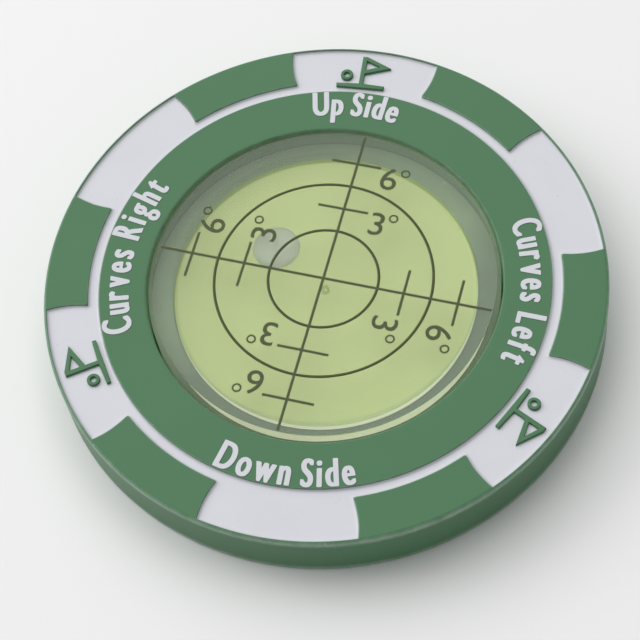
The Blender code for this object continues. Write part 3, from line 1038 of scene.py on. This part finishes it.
low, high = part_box("air_bubble")
BUBBLE_CENTRE = (low + high) / 2
BUBBLE_RADIUS = 1.7 * MM
BUBBLE_HALF = 0.4 * MM
BUBBLE_SQUARE = 2.6  # over 2, the rim is blunter than an ellipse's
BUBBLE_STEPS = 24
profile = []
for i in range(BUBBLE_STEPS + 1):
    turn = math.pi * i / BUBBLE_STEPS
    across = abs(math.sin(turn)) ** (2 / BUBBLE_SQUARE)
    upright = math.copysign(abs(math.cos(turn)) ** (2 / BUBBLE_SQUARE), math.cos(turn))
    profile.append((BUBBLE_RADIUS * across, BUBBLE_HALF * upright))
bubble = lathe("bubble", profile)
lean = (BUBBLE_CENTRE - Vector((0.0, 0.0, DOME_CENTRE))).normalized()
turn = Vector((0.0, 0.0, 1.0)).rotation_difference(lean).to_matrix().to_4x4()
bubble.data.transform(Matrix.Translation(BUBBLE_CENTRE) @ turn)
# The bubble's colour is painted reflection and painted shade, because air has no colour of its own.
bubble.data.materials.append(clear_mix("air", bubble_share, {"Roughness": 0.15}, bubble_painted_light))
unseen_by_light(bubble)
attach(bubble, "bubble")
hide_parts("air_bubble")

# ---- The dial's print ------------------------------------------------------------------------
# Dark olive ink on top of the lens: a cross, two rings, and a tick with its number of degrees
# where each ring would be for 3 and 6 degrees of slope. One arm is drawn and turned four times.
DIAL_TURN = math.radians(-5.5)
LINE = 0.2 * MM
ARM = 12.1 * MM
RINGS = (3.92 * MM, 7.76 * MM)
TICKS = (5.83 * MM, 9.71 * MM)
TICK_FROM = -1.92 * MM
TICK_TO = 1.77 * MM
FIGURES = (("6", 2.55 * MM, 8.95 * MM), ("3", 2.6 * MM, 5.1 * MM))
FIGURE_TALL = 1.82 * MM
FIGURE_STRETCH = 1.05
PRINT_FOOT = LENS_FACE - INK / 4  # the print reaches a little into the lens
FIGURE_FATTEN = (0.008 * MM, 0.008 * MM)
DEGREE_OFFSET = (1.08 * MM, 0.66 * MM)
DEGREE_RADIUS = 0.28 * MM


def dial_ink(root):
    """Screen-printed ink, a little thin and uneven."""
    thin = mottle(root, 0.35 * MM, 3.0, 0.6)
    return {
        "Base Color": blend_colours(root, thin, (0.042, 0.057, 0.012), (0.075, 0.095, 0.025)),
        "Roughness": 0.35 + 0.2 * thin,
    }


built = bmesh.new()
for figure, across, up in FIGURES:
    loops = letter_loops(figure, FIGURE_TALL - 2 * FIGURE_FATTEN[1], FIGURE_STRETCH)
    reach = [u for loop in loops for u, v in loop]
    aside = across - (min(reach) + max(reach)) / 2
    rise = up - FIGURE_TALL / 2 + FIGURE_FATTEN[1]
    placed = [[(u + aside, v + rise) for u, v in loop] for loop in loops]
    numeral = bpy.data.meshes.new(figure)
    drawn = fat_shape(placed, PRINT_FOOT, LENS_TOP, FIGURE_FATTEN)
    drawn.to_mesh(numeral)
    drawn.free()
    centre = (across + DEGREE_OFFSET[0], up + DEGREE_OFFSET[1])
    circles = [ring(DEGREE_RADIUS + LINE / 3, centre), ring(DEGREE_RADIUS - LINE / 3, centre)]
    degree = flat_shape("degree", circles, PRINT_FOOT, LENS_TOP)
    for mesh in (numeral, degree):
        built.from_mesh(mesh)
        bpy.data.meshes.remove(mesh)
figures = bpy.data.meshes.new("dial_figures")
built.to_mesh(figures)
built.free()


def drawn_line(root, start, end):
    """A printed line between two points: a flat box a line wide."""
    width, length = [max(abs(b - a), LINE) for a, b in zip(start, end)]
    size = joined(root, width, length, LENS_TOP - PRINT_FOOT)
    box = root.add("GeometryNodeMeshCube", sockets={"Size": size})
    middle = ((start[0] + end[0]) / 2, (start[1] + end[1]) / 2)
    place = joined(root, middle[0], middle[1], (LENS_TOP + PRINT_FOOT) / 2)
    return root.add("GeometryNodeTransform", sockets={"Geometry": box, "Translation": place})


root = new_tree("dial_print", ["Inner Ring", "Outer Ring", "Line Width", "Dial Turn"])
arm = [take(root, "Geometry"), drawn_line(root, (0.0, LINE / 2), (0.0, ARM))]
for reach in TICKS:
    for start, end in ((TICK_FROM, -LINE / 2), (LINE / 2, TICK_TO)):
        arm.append(drawn_line(root, (start, reach), (end, reach)))
copies = [turned_copies(root, root.add("GeometryNodeJoinGeometry", sockets={"Geometry": arm}), 4)]
copies.append(drawn_line(root, (-LINE / 2, 0.0), (LINE / 2, 0.0)))
for size in ("Inner Ring", "Outer Ring"):
    path = root.add(
        "GeometryNodeCurvePrimitiveCircle", sockets={"Resolution": 160, "Radius": take(root, size)}
    )
    band = root.add(
        "GeometryNodeCurvePrimitiveQuadrilateral",
        sockets={"Width": take(root, "Line Width"), "Height": INK},
    )
    flat = root.add("GeometryNodeCurveToMesh", sockets={"Curve": path, "Profile Curve": band})
    lift = joined(root, 0.0, 0.0, LENS_TOP - INK * 0.6)
    copies.append(root.add("GeometryNodeTransform", sockets={"Geometry": flat, "Translation": lift}))
whole = root.add("GeometryNodeJoinGeometry", sockets={"Geometry": copies})
turn = root.add(
    "FunctionNodeEulerToRotation", sockets={"Euler": joined(root, 0.0, 0.0, take(root, "Dial Turn"))}
)
dial = root.add("GeometryNodeTransform", sockets={"Geometry": whole, "Rotation": turn})
close_tree(root, dial, new_material("dial_ink", {"Specular IOR Level": 0.35}, dial_ink))
dial_sizes = {"Inner Ring": RINGS[0], "Outer Ring": RINGS[1], "Line Width": LINE, "Dial Turn": DIAL_TURN}
dial_print = run_tree("dial_print", figures, root, dial_sizes)
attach(dial_print, "chip")

# ---- The studio ------------------------------------------------------------------------------
# A pale floor, a broad soft light overhead and behind, a fill from the left, and a plain bright
# surround. The camera looks down at the chip from its lower right.
FLOOR_SIDE = 2.0
FLOOR_DROP = 0.01 * MM  # keeps the floor off the plane that the chip's back lies in
floor_ends = [-FLOOR_SIDE / 2, FLOOR_SIDE / 2]
floor_mesh = sheet("floor", floor_ends, floor_ends, lambda row, column: (column, row, -FLOOR_DROP))
floor = bpy.data.objects.new("floor", floor_mesh)
bpy.context.scene.collection.objects.link(floor)


def pale_floor(root):
    """White card, hardly uneven."""
    cloud = mottle(root, 200 * MM)
    return {"Base Color": blend_colours(root, cloud, (0.93, 0.93, 0.93), (0.95, 0.95, 0.95))}


floor_mesh.materials.append(new_material("pale_floor", {"Roughness": 0.9}, pale_floor))
floor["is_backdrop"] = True


def soft_light(name, place, size, power):
    """A square lamp that faces the chip."""
    lamp = bpy.data.lights.new(name, "AREA")
    lamp.shape = "RECTANGLE"
    lamp.size = size
    lamp.size_y = size
    lamp.energy = power
    holder = bpy.data.objects.new(name, lamp)
    holder.location = place
    holder.rotation_euler = (-Vector(place)).to_track_quat("-Z", "Y").to_euler()
    bpy.context.scene.collection.objects.link(holder)


soft_light("key_light", (-0.22, 0.3, 0.62), 0.95, 4.8)
soft_light("fill_light", (-0.5, 0.05, 0.3), 0.3, 0.8)
world = bpy.data.worlds.new("studio")
world.use_nodes = True
world.node_tree.nodes["Background"].inputs["Color"].default_value = (1.0, 1.0, 1.0, 1.0)
world.node_tree.nodes["Background"].inputs["Strength"].default_value = 0.3
bpy.context.scene.world = world
bpy.context.scene.view_settings.view_transform = "Standard"

VIEW_AZIMUTH = math.radians(18.23)
VIEW_ELEVATION = math.radians(61.37)
VIEW_ROLL = math.radians(-9.98)
VIEW_DISTANCE = 137.4 * MM
VIEW_LENS = 110.8
VIEW_TARGET = Vector((0.29 * MM, -3.254 * MM, FACE))
flat_reach = math.cos(VIEW_ELEVATION)
backwards = Vector((
    math.sin(VIEW_AZIMUTH) * flat_reach,
    -math.cos(VIEW_AZIMUTH) * flat_reach,
    math.sin(VIEW_ELEVATION),
))
rightwards = (-backwards).cross(Vector((0.0, 0.0, 1.0))).normalized()
upwards = rightwards.cross(-backwards)
axis_x = math.cos(VIEW_ROLL) * rightwards + math.sin(VIEW_ROLL) * upwards
axis_y = -math.sin(VIEW_ROLL) * rightwards + math.cos(VIEW_ROLL) * upwards
view = bpy.data.cameras.new("camera")
view.lens = VIEW_LENS
view.sensor_width = 36.0
view.clip_start = 5 * MM
view.clip_end = 10.0
camera = bpy.data.objects.new("camera", view)
stance = Matrix((axis_x, axis_y, backwards)).transposed().to_4x4()
camera.matrix_world = Matrix.Translation(VIEW_TARGET + backwards * VIEW_DISTANCE) @ stance
bpy.context.scene.collection.objects.link(camera)
bpy.context.scene.camera = camera

sizes = {"cad": [list(corner) for corner in cad_box], "visual": [list(corner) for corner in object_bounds()]}
